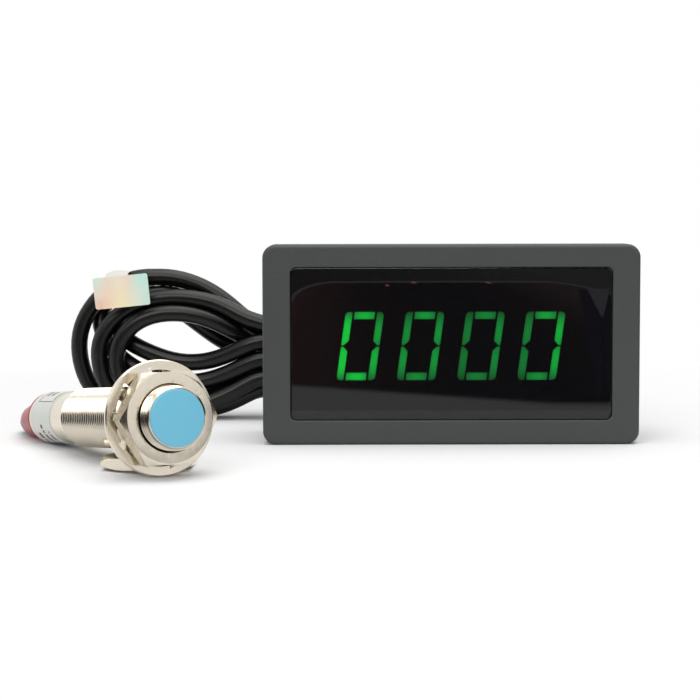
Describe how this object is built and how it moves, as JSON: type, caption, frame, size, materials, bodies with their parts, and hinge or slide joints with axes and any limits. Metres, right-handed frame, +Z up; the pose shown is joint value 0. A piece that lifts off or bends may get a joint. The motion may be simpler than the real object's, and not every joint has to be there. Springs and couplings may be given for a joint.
{
  "type": "digital tachometer",
  "caption": "Panel tachometer with a four-digit green display behind a smoked window, wired by a hank of black cable to a threaded nickel proximity sensor.",
  "frame": {"origin": "middle of the flat foot under the meter's bezel", "axes": "+Z up, the display faces -Y, +X to the right as the display is read"},
  "size_m": [0.1343, 0.1155, 0.042],
  "materials": {
    "case_plastic": "fine sparked ABS",
    "smoked_lens": "polished smoked acrylic",
    "display_plastic": "matt black face",
    "lit_green": "lit epoxy segment",
    "unlit_grey": "unlit epoxy segment",
    "tinned_metal": "tinned",
    "circuit_board": "green solder mask",
    "chip_black": "moulded epoxy",
    "capacitor_sleeve": "shrunk sleeve",
    "zinc_steel": "zinc plated",
    "terminal_green": "moulded polyamide",
    "clamp_brass": "tinned brass",
    "nickel_plate": "nickel plated",
    "blue_cap": "satin polyester cap",
    "red_boot": "clear red resin",
    "label_silver": "printed film",
    "potting_resin": "cast epoxy",
    "black_sheath": "smooth extruded sheath",
    "core_brown": "extruded insulation",
    "core_blue": "extruded insulation",
    "tie_black": "wire tie in a flat sleeve",
    "foil_sticker": "iridescent foil"
  },
  "bodies": {
    "root": {"case_shell": "case_plastic", "window_lens": "smoked_lens", "display_body": "display_plastic", "lit_segments": "lit_green", "unlit_segments": "unlit_grey", "display_pins": "tinned_metal", "display_board": "circuit_board", "controller_chip": "chip_black", "display_driver": "chip_black", "chip_resistors": "chip_black", "crystal": "tinned_metal", "board_header": "chip_black", "power_board": "circuit_board", "capacitors": "capacitor_sleeve", "regulator": "chip_black", "board_screws": "zinc_steel", "terminal_block": "terminal_green", "terminal_clamps": "clamp_brass", "terminal_screws": "zinc_steel", "rear_cover": "case_plastic", "sensor_barrel": "nickel_plate", "sensing_face": "blue_cap", "sensor_board": "circuit_board", "hall_element": "chip_black", "indicator_led": "red_boot", "sensor_potting": "potting_resin", "tail_boot": "red_boot", "sensor_label": "label_silver", "front_nut": "nickel_plate", "lock_washer": "nickel_plate", "loose_nut": "nickel_plate", "cable_tail": "black_sheath", "cable_hank": "black_sheath", "cable_lead": "black_sheath", "core_brown": "core_brown", "core_black": "black_sheath", "core_blue": "core_blue", "hank_tie": "tie_black", "sticker_flag": "foil_sticker"}
  },
  "joints": []
}
